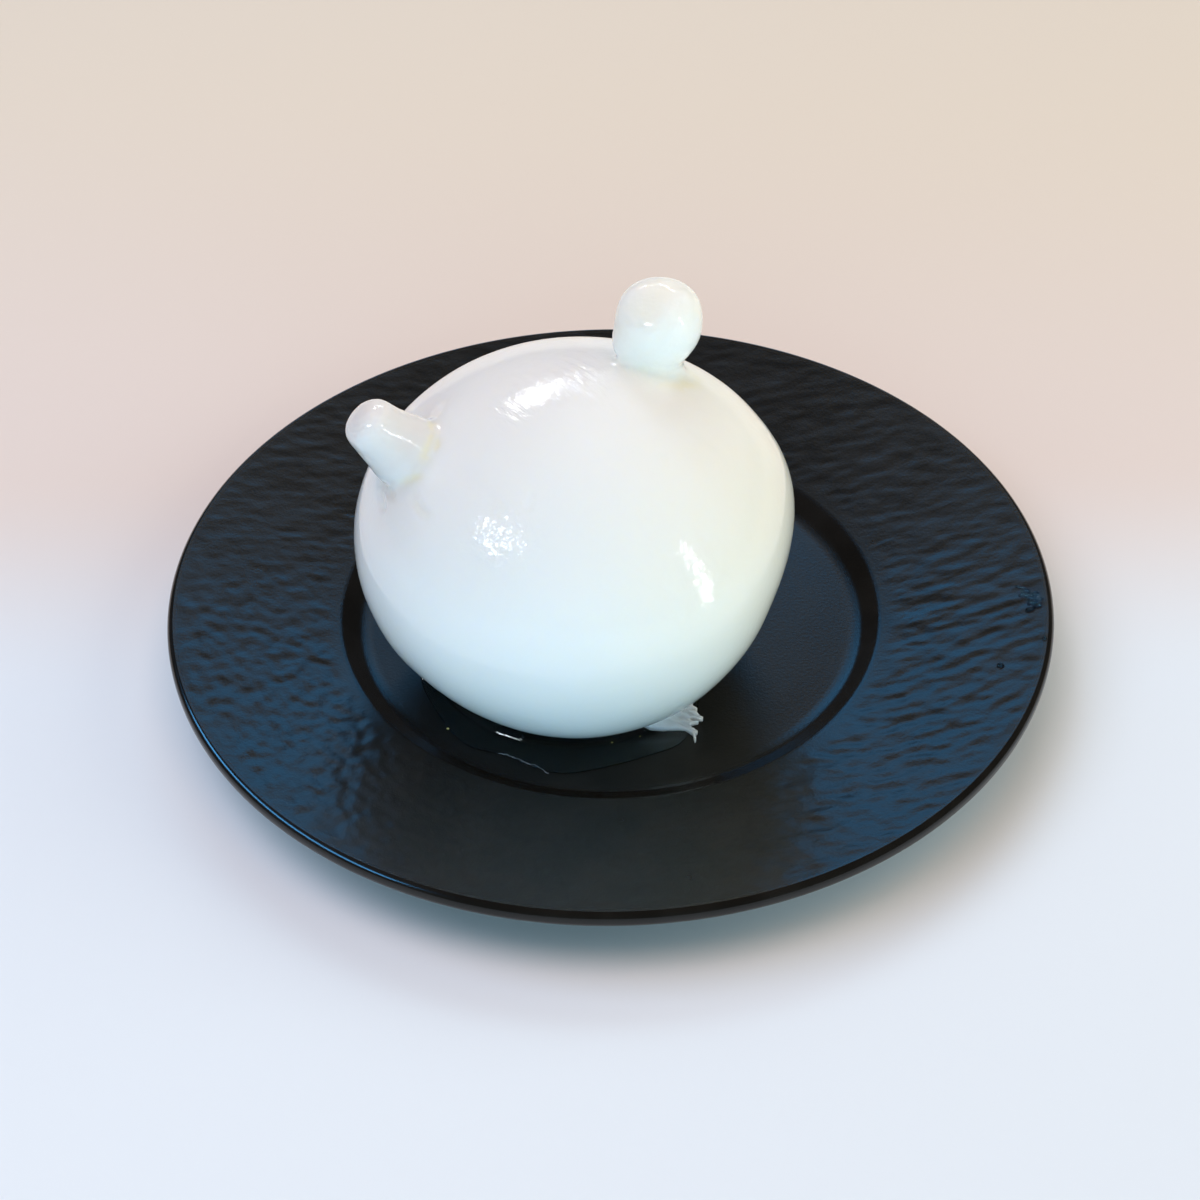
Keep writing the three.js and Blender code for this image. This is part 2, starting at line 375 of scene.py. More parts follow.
class DishSettings(bpy.types.PropertyGroup):
    """Sizes and glaze of the dish"""

    radius: FloatProperty(
        name="Radius", description="Outer radius of the lip", default=110.6 * MM, unit="LENGTH"
    )
    height: FloatProperty(
        name="Height", description="Top of the lip over the table", default=20 * MM, unit="LENGTH"
    )
    lip_thickness: FloatProperty(
        name="Lip thickness", description="Height of the lip's outer face", default=4.2 * MM, unit="LENGTH"
    )
    lip_round: FloatProperty(
        name="Lip round", description="Rounding of the lip's edges", default=1.9 * MM, unit="LENGTH"
    )
    crest_width: FloatProperty(
        name="Crest width", description="Width of the lip's bent crest", default=0.3 * MM, unit="LENGTH"
    )
    rim_edge_height: FloatProperty(
        name="Rim edge height", description="Inner edge over the table", default=12.8 * MM, unit="LENGTH"
    )
    rim_thickness: FloatProperty(
        name="Rim thickness", description="Thickness at the well", default=4.8 * MM, unit="LENGTH"
    )
    well_radius: FloatProperty(
        name="Well radius", description="Radius of the sunken well", default=67 * MM, unit="LENGTH"
    )
    well_edge: FloatProperty(
        name="Well edge", description="Width of the well's soft edge", default=0.7 * MM, unit="LENGTH"
    )
    wall_foot: FloatProperty(
        name="Wall foot", description="Radius where wall and floor meet", default=62 * MM, unit="LENGTH"
    )
    wall_blend: FloatProperty(
        name="Wall blend", description="Reach of the bend at the foot", default=2.2 * MM, unit="LENGTH"
    )
    floor_height: FloatProperty(
        name="Floor height", description="Floor of the well over the table", default=10 * MM, unit="LENGTH"
    )
    base_thickness: FloatProperty(
        name="Base thickness", description="Thickness under the floor", default=5 * MM, unit="LENGTH"
    )
    foot_radius: FloatProperty(
        name="Foot radius", description="Outer radius of the foot ring", default=57 * MM, unit="LENGTH"
    )
    foot_width: FloatProperty(
        name="Foot width", description="Width of the foot ring", default=4.5 * MM, unit="LENGTH"
    )
    foot_chamfer: FloatProperty(
        name="Foot chamfer", description="Bevel on the foot ring", default=0.8 * MM, unit="LENGTH"
    )
    ripple_depth: FloatProperty(
        name="Ripple depth", description="Height of the rim's ripples", default=0.7 * MM, unit="LENGTH"
    )
    sides: IntProperty(name="Sides", description="Steps round the dish", default=720, min=48)
    glaze: FloatVectorProperty(
        name="Glaze", description="Colour of the glaze", default=(0.0060, 0.0050, 0.0038), subtype="COLOR"
    )
    glaze_light: FloatVectorProperty(
        name="Glaze, light", description="Its lighter tone", default=(0.0100, 0.0085, 0.0068), subtype="COLOR"
    )


class CheeseSettings(bpy.types.PropertyGroup):
    """Skin of the mozzarella"""

    voxel: FloatProperty(
        name="Mesh size", description="Edge length of the joined skin", default=0.71 * MM, unit="LENGTH"
    )
    swell: FloatProperty(
        name="Swell", description="Height of the broad swells in the skin", default=0.5 * MM, unit="LENGTH"
    )
    wrinkle: FloatProperty(
        name="Wrinkles", description="Height of the wrinkles on top", default=0.4 * MM, unit="LENGTH"
    )
    milk: FloatVectorProperty(
        name="Milk white", description="Colour of the skin", default=(0.86, 0.87, 0.85), subtype="COLOR"
    )
    cream: FloatVectorProperty(
        name="Cream", description="Warmer tone at the right", default=(0.86, 0.82, 0.70), subtype="COLOR"
    )
    stain: FloatVectorProperty(
        name="Stain", description="Yellow in the creases", default=(0.86, 0.80, 0.58), subtype="COLOR"
    )
    # Painted shade: a duller, darker colour mixed into the stub
    stub_painted_shade: FloatVectorProperty(
        name="Stub tone", description="Duller tone of the stub", default=(0.72, 0.69, 0.67), subtype="COLOR"
    )
    flap_thickness: FloatProperty(
        name="Flap thickness", description="Thickness of the torn flap", default=1.5 * MM, unit="LENGTH"
    )


class WheySettings(bpy.types.PropertyGroup):
    """The pool of whey, what dries at its edge, and drops on the rim"""

    depth: FloatProperty(name="Depth", description="Depth of the pool", default=1 * MM, unit="LENGTH")
    meniscus: FloatProperty(
        name="Meniscus", description="Climb of the whey at the cheese", default=1.3 * MM, unit="LENGTH"
    )
    voxel: FloatProperty(
        name="Mesh size", description="Edge length of the pool's mesh", default=0.3 * MM, unit="LENGTH"
    )
    gap: FloatProperty(
        name="Gap", description="Room between the whey and the cheese", default=0.15 * MM, unit="LENGTH"
    )
    tint: FloatVectorProperty(
        name="Tint", description="Colour of the whey", default=(0.45, 0.50, 0.52), subtype="COLOR"
    )
    tint_light: FloatVectorProperty(
        name="Tint, light", description="Clearer tone", default=(0.60, 0.66, 0.68), subtype="COLOR"
    )
    # Painted shade: a dark tint that darkens the drops' bodies, standing in for the glaze's sheen lost under
    # water
    drop_painted_shade: FloatVectorProperty(
        name="Drops", description="Colour of the drops", default=(0.12, 0.13, 0.15), subtype="COLOR"
    )
    film_depth: FloatProperty(
        name="Film depth", description="Wet film round the puddle", default=0.2 * MM, unit="LENGTH"
    )
    curd: FloatVectorProperty(
        name="Curd", description="Colour of the specks", default=(0.62, 0.50, 0.16), subtype="COLOR"
    )
    film: FloatVectorProperty(
        name="Dried film", description="Colour of the line", default=(0.22, 0.24, 0.28), subtype="COLOR"
    )


class StageSettings(bpy.types.PropertyGroup):
    """Camera, floor and lights"""

    lens: FloatProperty(name="Lens", description="Focal length in millimetres", default=78.0)
    elevation: FloatProperty(
        name="Elevation", description="Camera's height angle", default=math.radians(41.54), subtype="ANGLE"
    )
    roll: FloatProperty(
        name="Roll", description="Turn of the camera", default=math.radians(0.88), subtype="ANGLE"
    )
    distance: FloatProperty(
        name="Distance", description="Camera to the rim's middle", default=652.63 * MM, unit="LENGTH"
    )
    offset: FloatVectorProperty(
        name="Offset",
        description="Place of the rim's middle right of and over the picture's middle",
        size=2,
        default=(2.485 * MM, 3.866 * MM),
        unit="LENGTH",
    )
    # The floor's three colours are painted light: cool in front, warm beside and behind the dish
    floor_cool: FloatVectorProperty(
        name="Floor, front", description="Near the camera", default=(0.72, 0.74, 0.74), subtype="COLOR"
    )
    floor_mid: FloatVectorProperty(
        name="Floor, middle", description="Beside the dish", default=(0.72, 0.60, 0.52), subtype="COLOR"
    )
    floor_warm: FloatVectorProperty(
        name="Floor, back", description="Behind the dish", default=(0.74, 0.62, 0.49), subtype="COLOR"
    )
    ambient: FloatVectorProperty(
        name="Ambient", description="Light from all round", default=(0.08, 0.08, 0.08), subtype="COLOR"
    )


# Selecting and building by operators


def deselect():
    """Leave edit mode with nothing selected."""
    if bpy.context.mode != "OBJECT":
        bpy.ops.object.mode_set(mode="OBJECT")
    bpy.ops.object.select_all(action="DESELECT")


def make_active(obj):
    """Select one object alone."""
    deselect()
    obj.select_set(True)
    bpy.context.view_layer.objects.active = obj


def named_active(name):
    """Name the object that an operator has just added."""
    obj = bpy.context.view_layer.objects.active
    obj.name = name
    obj.data.name = name
    return obj


def pick_vertices(obj, test):
    """Select the vertices of the mesh in edit mode whose place passes the test."""
    bpy.ops.mesh.select_mode(type="VERT")
    bpy.ops.mesh.select_all(action="DESELECT")
    mesh = bmesh.from_edit_mesh(obj.data)
    picked = 0
    for vertex in mesh.verts:
        vertex.select = test(vertex.co)
        picked += vertex.select
    mesh.select_flush(True)
    bmesh.update_edit_mesh(obj.data)
    if not picked:
        raise RuntimeError(f"nothing to select on {obj.name}")


def nearest_vertex(obj, place):
    """Select the one vertex of the mesh in edit mode that is nearest to a place."""
    mesh = bmesh.from_edit_mesh(obj.data)
    nearest = min(mesh.verts, key=lambda vertex: (vertex.co - place).length_squared).co.copy()
    pick_vertices(obj, lambda co: (co - nearest).length < SAME_PLACE)


def push(obj, place, move, reach):
    """Drag the skin at a place, with the skin round it following out to reach."""
    nearest_vertex(obj, place)
    bpy.ops.transform.translate(
        value=move,
        use_proportional_edit=True,
        proportional_edit_falloff="SMOOTH",
        proportional_size=reach,
    )


def push_rows(obj, rows):
    """Make each push of a table in millimetres."""
    for place, move, reach in rows:
        push(obj, Vector(place) * MM, Vector(move) * MM, reach * MM)


def draw_chain(name, points):
    """A chain of edges through points, drawn by extruding one vertex, left in edit mode."""
    deselect()
    bpy.ops.mesh.primitive_circle_add(vertices=3, radius=MM, enter_editmode=True)
    obj = named_active(name)
    bpy.ops.mesh.select_all(action="SELECT")
    bpy.ops.mesh.merge(type="CENTER")
    bpy.ops.transform.translate(value=points[0])
    for before, after in zip(points, points[1:]):
        bpy.ops.mesh.extrude_vertices_move(TRANSFORM_OT_translate={"value": Vector(after) - Vector(before)})
    return obj


def close_mesh():
    """Merge doubles of the mesh in edit mode, with all of it selected."""
    bpy.ops.mesh.select_all(action="SELECT")
    bpy.ops.mesh.remove_doubles(threshold=DOUBLES)


def face_outwards():
    """Turn the faces of the closed mesh in edit mode outwards."""
    bpy.ops.mesh.select_all(action="SELECT")
    bpy.ops.mesh.normals_make_consistent(inside=False)


def turn_profile(name, profile, steps):
    """A solid turned about Z from a profile of radius and height, left in edit mode."""
    obj = draw_chain(name, [Vector((radius, 0, height)) for radius, height in profile])
    finish_modifier(obj, "SCREW", angle=2 * math.pi, steps=steps, render_steps=steps)
    bpy.ops.object.mode_set(mode="EDIT")
    close_mesh()
    face_outwards()
    return obj


def raise_outline(name, outline, low, high):
    """A slab with a closed outline in plan, left in edit mode."""
    points = [Vector((x, y, low)) for x, y in outline]
    obj = draw_chain(name, points + points[:1])
    close_mesh()
    bpy.ops.mesh.edge_face_add()
    bpy.ops.mesh.extrude_region_move(TRANSFORM_OT_translate={"value": (0, 0, high - low)})
    face_outwards()
    return obj


def finish_modifier(obj, kind, **settings):
    """Add a modifier and apply it."""
    make_active(obj)
    modifier = obj.modifiers.new(kind.title(), kind)
    for key, value in settings.items():
        setattr(modifier, key, value)
    bpy.ops.object.modifier_apply(modifier=modifier.name)


def remesh(obj, voxel, smoothing):
    """Make one even skin of a solid and soften it."""
    finish_modifier(obj, "REMESH", mode="VOXEL", voxel_size=voxel)
    finish_modifier(obj, "SMOOTH", factor=0.5, iterations=smoothing)


def lift(obj, group, height):
    """Move a vertex group up or down by its weights."""
    finish_modifier(obj, "DISPLACE", vertex_group=group, direction="Z", strength=height, mid_level=0.0)


def weigh(obj, name, weight):
    """A vertex group whose weights come from each vertex's place."""
    group = obj.vertex_groups.new(name=name)
    for vertex in obj.data.vertices:
        value = weight(vertex.co)
        if value > 0:
            group.add([vertex.index], value, "REPLACE")


def ripple(obj, group, depth, cell, seed, turn=0.0, direction="NORMAL", detail=1):
    """Raise soft noise on a vertex group, in cells in millimetres turned about Z by degrees."""
    deselect()
    bpy.ops.object.empty_add(location=seed * SEED_STEP, rotation=(0, 0, math.radians(turn)))
    guide = bpy.context.view_layer.objects.active
    guide.scale = Vector(cell) * MM
    bpy.context.view_layer.update()
    texture = bpy.data.textures.new(group, "CLOUDS")
    texture.noise_scale = 1.0
    texture.noise_basis = "IMPROVED_PERLIN"
    texture.noise_depth = detail
    finish_modifier(
        obj,
        "DISPLACE",
        texture=texture,
        texture_coords="OBJECT",
        texture_coords_object=guide,
        vertex_group=group,
        direction=direction,
        strength=depth,
        mid_level=0.5,
    )
    bpy.data.objects.remove(guide)
    bpy.data.textures.remove(texture)


def keep_values(obj, name, values):
    """Keep one value for each vertex on the piece, for its material."""
    layer = obj.data.attributes.new(name, "FLOAT", "POINT")
    layer.data.foreach_set("value", values)


def ease(value, start, end):
    """Smooth step from 0 at start to 1 at end."""
    t = min(max((value - start) / (end - start), 0.0), 1.0)
    return t * t * (3 - 2 * t)


def spots(rows):
    """A weight of at most 1 from the strongest of soft spots, each easing to 0 at its reach."""
    fields = [(strength, Vector(place) * MM, reach * MM) for strength, place, reach in rows]

    def weight(co):
        strengths = [force * (1 - ease((co - place).length, 0, reach)) for force, place, reach in fields]
        return min(1.0, max(strengths))

    return weight


def line_points(start, end, count):
    """Points on a straight stretch, from its start to just before its end."""
    return [tuple(a + (b - a) * i / count for a, b in zip(start, end)) for i in range(count)]


def arc_points(centre, radius, start, end, steps):
    """Points on an arc between two angles, with both ends."""
    angles = [start + (end - start) * i / steps for i in range(steps + 1)]
    return [(centre[0] + radius * math.cos(angle), centre[1] + radius * math.sin(angle)) for angle in angles]


def closed_curve(corners, steps):
    """Points of a smooth closed curve through corners."""
    points = []
    count = len(corners)
    for i in range(count):
        a, b, c, d = (Vector(corners[(i + k - 1) % count]) for k in range(4))
        for step in range(steps):
            t = step / steps
            square = (2 * a - 5 * b + 4 * c - d) * t**2
            cube = (3 * b - a - 3 * c + d) * t**3
            points.append(0.5 * (2 * b + (c - a) * t + square + cube))
    return points


def smooth_by_angle(obj, angle):
    """Smooth shading that keeps edges sharper than an angle."""
    make_active(obj)
    bpy.ops.object.shade_smooth_by_angle(angle=math.radians(angle))


def smooth(obj):
    """Smooth shading all over."""
    make_active(obj)
    bpy.ops.object.shade_smooth()


def join(parts, name):
    """Join objects into the first."""
    deselect()
    for part in parts:
        part.select_set(True)
    bpy.context.view_layer.objects.active = parts[0]
    bpy.ops.object.join()
    return named_active(name)


def belongs(obj, finish, replaced=None):
    """Give a finished piece its material and body, and hide the part that it replaces."""
    obj.data.materials.clear()
    obj.data.materials.append(finish.material)
    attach(obj, "root")
    if replaced:
        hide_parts(replaced)


# Materials as expressions


class Socket:
    """A shader value that arithmetic adds Math nodes to."""

    def __init__(self, finish, socket):
        self.finish = finish
        self.socket = socket

    def __add__(self, other):
        return self.finish.math("ADD", self, other)

    __radd__ = __add__

    def __sub__(self, other):
        return self.finish.math("SUBTRACT", self, other)

    def __rsub__(self, other):
        return self.finish.math("SUBTRACT", other, self)

    def __mul__(self, other):
        return self.finish.math("MULTIPLY", self, other)

    __rmul__ = __mul__


class Finish:
    """A procedural material with one shader."""

    def __init__(self, name, **constants):
        self.material = bpy.data.materials.new(name)
        self.material.use_nodes = True
        self.tree = self.material.node_tree
        self.shader = self.tree.nodes["Principled BSDF"]
        self.feed(**constants)
        self.object = self.out("ShaderNodeTexCoord", "Object")

    def put(self, target, value):
        """Link a value to a socket, or set it there."""
        if isinstance(value, Socket):
            self.tree.links.new(value.socket, target)
        elif target.type == "RGBA":
            target.default_value = (*value, 1)
        else:
            target.default_value = value

    def out(self, kind, output, settings=None, sockets=None):
        """An output of a new node, with its settings made before its sockets are filled."""
        node = self.tree.nodes.new(kind)
        for key, value in (settings or {}).items():
            setattr(node, key, value)
        for key, value in (sockets or {}).items():
            self.put(node.inputs[key], value)
        return Socket(self, node.outputs[output])

    def math(self, operation, *values):
        """A Math node on values."""
        return self.out("ShaderNodeMath", 0, {"operation": operation}, dict(enumerate(values)))

    def mix(self, factor, first, second):
        """A colour between two."""
        settings = {"data_type": "RGBA"}
        return self.out("ShaderNodeMix", 2, settings, {0: factor, 6: first, 7: second})

    def step(self, value, low, high):
        """A smooth step on a value."""
        settings = {"interpolation_type": "SMOOTHSTEP"}
        return self.out("ShaderNodeMapRange", 0, settings, {0: value, 1: low, 2: high, 3: 0.0, 4: 1.0})

    def noise(self, scale, detail=2.0, rough=0.5, cell=(1, 1, 1), turn=0.0):
        """Noise on object coordinates, in cells that can be stretched and turned about Z."""
        frame_of_cells = {"Vector": self.object, "Scale": cell, "Rotation": (0, 0, turn)}
        place = self.out("ShaderNodeMapping", 0, {"vector_type": "TEXTURE"}, frame_of_cells)
        sockets = {"Vector": place, "Scale": scale, "Detail": detail, "Roughness": rough}
        return self.out("ShaderNodeTexNoise", 0, None, sockets)

    def bump(self, height, distance, strength=1.0, normal=None):
        """A bump that feeds a normal."""
        sockets = {"Height": height, "Distance": distance, "Strength": strength}
        if normal:
            sockets["Normal"] = normal
        return self.out("ShaderNodeBump", 0, None, sockets)

    def attribute(self, name):
        """A value kept on the piece's own vertices."""
        return self.out("ShaderNodeAttribute", "Fac", {"attribute_name": name})

    def feed(self, **sockets):
        """Fill the shader's sockets, named with underscores."""
        for key, value in sockets.items():
            self.put(self.shader.inputs[key.replace("_", " ")], value)


def stoneware(dish):
    """Matt dark glaze, a little mottled and grainy, smoother on the well's wall and the lip."""
    finish = Finish("stoneware glaze", Specular_IOR_Level=0.3)
    mottle = finish.noise(scale=70, detail=3)
    grain = finish.noise(scale=1200, detail=2, rough=0.7)
    wall = finish.attribute("wall")
    light = finish.step(mottle, low=0.35, high=0.7)
    finish.feed(
        Base_Color=finish.mix(light, tuple(dish.glaze), tuple(dish.glaze_light)),
        Roughness=0.25 + 0.08 * mottle - 0.13 * wall,
        Normal=finish.bump(grain * (1 - 0.9 * wall), distance=0.08 * MM, strength=0.7),
    )
    return finish


def cheese_skin(cheese):
    """Wet white skin with a milky depth, creamier at the right, stained in the creases, with painted shade
    darkening the stub and partly dulling the round knob.
    """
    finish = Finish(
        "mozzarella skin",
        IOR=1.4,
        Subsurface_Weight=1.0,
        Subsurface_Radius=(1.0, 0.95, 0.85),
        Subsurface_Scale=13 * MM,
    )
    cloud = finish.noise(scale=45, detail=3)
    fine = finish.noise(scale=260, detail=3, rough=0.6)
    finest = finish.noise(scale=900, detail=2)
    folds = finish.noise(scale=620, detail=3, rough=0.6, cell=(3.4, 1, 1.8), turn=math.radians(-50))
    wrinkles = finish.attribute("wrinkle") * folds
    pebbles = finish.attribute("pebble") * finish.noise(scale=560, detail=2)
    creamy = finish.attribute("cream") * (0.6 + 0.6 * cloud)
    stained = finish.attribute("stain") * finish.step(fine, low=0.25, high=0.65)
    skin = finish.mix(creamy, tuple(cheese.milk), tuple(cheese.cream))
    # Painted shade: the stub's colour is darkened towards a duller tone
    skin = finish.mix(finish.attribute("tone"), skin, tuple(cheese.stub_painted_shade))
    fine_bump = finish.bump(fine + 0.35 * finest, distance=0.10 * MM, strength=0.35)
    finish.feed(
        Base_Color=finish.mix(stained, skin, tuple(cheese.stain)),
        Roughness=0.06 + 0.08 * finish.step(fine, low=0.45, high=0.75),
        Normal=finish.bump(wrinkles + pebbles, distance=0.45 * MM, normal=fine_bump),
    )
    return finish


def clear_whey(name, tint, tint_light):
    """Thin liquid that lets the dark dish show through."""
    finish = Finish(name, IOR=1.34, Transmission_Weight=1.0)
    finish.feed(
        Base_Color=finish.mix(finish.noise(scale=60), tuple(tint), tuple(tint_light)),
        Roughness=0.01 + 0.03 * finish.noise(scale=200),
    )
    return finish


def dry_film(name, colour):
    """Thin dried curd, uneven in tone."""
    finish = Finish(name)
    uneven = finish.noise(scale=1200, detail=3)
    pale = tuple(min(1.0, 2.2 * channel) for channel in colour)
    finish.feed(
        Base_Color=finish.mix(finish.step(uneven, low=0.4, high=0.7), tuple(colour), pale),
        Roughness=0.35 + 0.3 * uneven,
    )
    return finish


def floor_painted_light(stage):
    """Pale floor with painted light: cool colour in front and warmer colour towards the back, standing in for
    cool and warm lamps.
    """
    finish = Finish("floor with painted light", Roughness=0.85, Specular_IOR_Level=0.1)
    depth = finish.out("ShaderNodeSeparateXYZ", "Y", None, {0: finish.object})
    across = finish.out("ShaderNodeSeparateXYZ", "X", None, {0: finish.object})
    front = finish.mix(finish.step(depth, *FRONT_CHANGE), tuple(stage.floor_cool), tuple(stage.floor_mid))
    behind = finish.step(depth + BACK_LEAN * across, *BACK_CHANGE)
    finish.feed(Base_Color=finish.mix(behind, front, tuple(stage.floor_warm)))
    return finish


# Pieces


def dish_profile(dish):
    """Points of the dish's section, from the middle of the floor round to the middle of the underside."""
    edge = (dish.well_radius + dish.well_edge, dish.rim_edge_height)
    slope = math.atan2(edge[1] - dish.floor_height, edge[0] - dish.wall_foot)
    floor_end = (dish.wall_foot - dish.wall_blend, dish.floor_height)
    bend = dish.wall_blend / math.tan(slope / 2)
    bend_centre = (floor_end[0], floor_end[1] + bend)
    foot = arc_points(bend_centre, bend, -QUARTER_TURN, slope - QUARTER_TURN, ARC_STEPS)
    points = line_points((0, dish.floor_height), floor_end, FLOOR_ROWS)
    points += foot[:-1] + line_points(foot[-1], edge, WALL_ROWS)

    lip_middle = dish.radius - dish.lip_round
    rise = math.atan2(dish.height - edge[1], lip_middle - edge[0])
    crest = lip_middle + dish.lip_round * math.sin(LIP_FALL) - dish.crest_width
    crest_start = (crest, edge[1] + (crest - edge[0]) * math.tan(rise))
    arch = dish.crest_width / (math.sin(rise) + math.sin(LIP_FALL))
    arch_centre = (crest + arch * math.sin(rise), crest_start[1] - arch * math.cos(rise))
    points += line_points(edge, crest_start, RIM_ROWS)
    points += arc_points(arch_centre, arch, QUARTER_TURN + rise, QUARTER_TURN - LIP_FALL, ARC_STEPS)

    lip_top = (lip_middle, points[-1][1] - dish.lip_round * math.cos(LIP_FALL))
    lip_low = (lip_middle, dish.height - dish.lip_thickness + dish.lip_round)
    under_edge = (dish.well_radius, dish.rim_edge_height - dish.rim_thickness)
    tuck = arc_points(lip_low, dish.lip_round, 0, -LIP_TUCK, TUCK_STEPS)
    points += arc_points(lip_top, dish.lip_round, QUARTER_TURN - LIP_FALL, 0, ARC_STEPS)[1:]
    points += tuck[:-1] + line_points(tuck[-1], under_edge, UNDER_ROWS)

    underside = dish.floor_height - dish.base_thickness
    inner = dish.foot_radius - dish.foot_width
    points += [
        under_edge,
        (dish.foot_radius + COVE_WIDTH, underside + COVE_RISE),
        (dish.foot_radius, underside - COVE_FALL),
        (dish.foot_radius, dish.foot_chamfer),
        (dish.foot_radius - dish.foot_chamfer, 0),
        (inner + dish.foot_chamfer, 0),
        (inner, dish.foot_chamfer),
        (inner, underside),
        (inner / 2, underside),
        (0, underside),
    ]
    return points


class MOZZARELLA_OT_dish(bpy.types.Operator):
    """Turn the dish and raise the ripples of its rim"""

    bl_idname = "mozzarella.dish"
    bl_label = "Dish"

    def execute(self, context):
        dish = context.scene.mozzarella_dish
        obj = turn_profile("glazed_dish", dish_profile(dish), dish.sides)
        deselect()
        self.raise_ripples(obj, dish)
        edge = dish.well_radius + dish.well_edge

        def wall(co):
            if co.z < dish.floor_height - TOP_MARGIN:
                return 0.0
            radius = co.xy.length
            up = ease(radius, dish.wall_foot, dish.wall_foot + WALL_FADE)
            over = ease(radius, edge + EDGE_FADE[0], edge + EDGE_FADE[1])
            lip = ease(radius, dish.radius - dish.lip_round, dish.radius - LIP_FADE * dish.lip_round)
            return max(up * (1 - over), lip)

        keep_values(obj, "wall", [wall(vertex.co) for vertex in obj.data.vertices])
        smooth_by_angle(obj, SHARP_DISH_EDGE)
        belongs(obj, stoneware(dish), "dish")
        return {"FINISHED"}

    def raise_ripples(self, obj, dish):
        """Hammered ripples on top of the rim, finer in front at the left and lower at the back."""
        inner = dish.well_radius + RIPPLE_START
        outer = dish.radius - dish.lip_round

        def rim(co):
            radius = co.xy.length
            if co.z < dish.rim_edge_height - TOP_MARGIN or radius < inner:
                return 0.0
            if co.z < dish.rim_edge_height + LEAST_RIM_SLOPE * (radius - inner):
                return 0.0
            end = ease(radius, outer + RIPPLE_END[0], outer + RIPPLE_END[1])
            return ease(radius, inner, inner + RIPPLE_FADE) * (1 - end)

        def facing(co, side, spread):
            angle = math.degrees(math.atan2(co.y, co.x)) - side
            return 1 - ease(abs((angle + 180) % 360 - 180), FULL_SPREAD * spread, spread)

        def front(co):
            return max(facing(co, side, spread) for side, spread, *_ in FRONT_RIPPLES.values())

        for name, (side, spread, *_) in FRONT_RIPPLES.items():
            weigh(obj, name, lambda co: rim(co) * facing(co, side, spread))
        weigh(obj, "others", lambda co: rim(co) * (1 - front(co)))
        for name, (_, _, cell, turn, seed) in FRONT_RIPPLES.items():
            ripple(obj, name, dish.ripple_depth, cell, seed, turn, "Z")
        cell, turn, seed = OTHER_RIPPLES
        ripple(obj, "others", OTHER_DEPTH * dish.ripple_depth, cell, seed, turn, "Z")
        obj.vertex_groups.clear()


def knob_profile(knob):
    """Half outline of a knob: flaring foot, neck, body and domed crown."""
    points = [(0, -knob["root"])]
    for i in range(FLARE_STEPS + 1):
        t = i / FLARE_STEPS
        radius = knob["neck"] + (knob["foot"] - knob["neck"]) * (1 - t) ** 2
        points.append((radius, -knob["root"] + (knob["neck_at"] + knob["root"]) * t))
    for i in range(1, BODY_STEPS + 1):
        t = i / BODY_STEPS
        radius = knob["neck"] + (knob["head"] - knob["neck"]) * math.sin(QUARTER_TURN * t)
        points.append((radius, knob["neck_at"] + (knob["head_at"] - knob["neck_at"]) * t))
    power = knob["crown_power"]
    for i in range(1, CROWN_STEPS):
        t = math.sin(QUARTER_TURN * i / CROWN_STEPS)
        radius = knob["head"] * (1 - t**power) ** (1 / power)
        points.append((radius, knob["head_at"] + (knob["length"] - knob["head_at"]) * t))
    points.append((0, knob["length"]))
    return [(radius * MM, height * MM) for radius, height in points]


def make_knob(name, knob):
    """A pulled knob, pushed out of round and stood on the skin along its axis."""
    obj = turn_profile(name, knob_profile(knob), KNOB_SIDES)
    push_rows(obj, knob["pushes"])
    make_active(obj)
    obj.rotation_mode = "QUATERNION"
    obj.rotation_quaternion = Vector((0, 0, 1)).rotation_difference(Vector(knob["axis"]))
    obj.location = Vector(knob["base"]) * MM
    bpy.ops.object.transform_apply(location=True, rotation=True, scale=True)
    obj.rotation_mode = "XYZ"
    return obj


def ball(name, floor_height, grow=0.0):
    """The sagging ball, grown all over and cut flat where it rests."""
    deselect()
    bpy.ops.mesh.primitive_uv_sphere_add(
        segments=BALL_SEGMENTS, ring_count=BALL_RINGS, radius=1, enter_editmode=True
    )
    obj = named_active(name)
    semi_axes = BALL_SEMI_AXES + Vector((grow, grow, grow))
    bpy.ops.mesh.select_all(action="SELECT")
    bpy.ops.transform.resize(value=semi_axes)
    for toward, depth, reach in BALL_PUSHES:
        direction = Vector(toward).normalized()
        scaled = Vector(a / b for a, b in zip(direction, semi_axes))
        push(obj, direction / scaled.length, direction * depth * MM, reach * MM)
    bpy.ops.mesh.select_all(action="SELECT")
    bpy.ops.transform.translate(value=BALL_CENTRE)
    bpy.ops.mesh.bisect(
        plane_co=(0, 0, floor_height + REST_GAP - grow),
        plane_no=(0, 0, 1),
        use_fill=True,
        clear_inner=True,
    )
    face_outwards()
    deselect()
    return obj


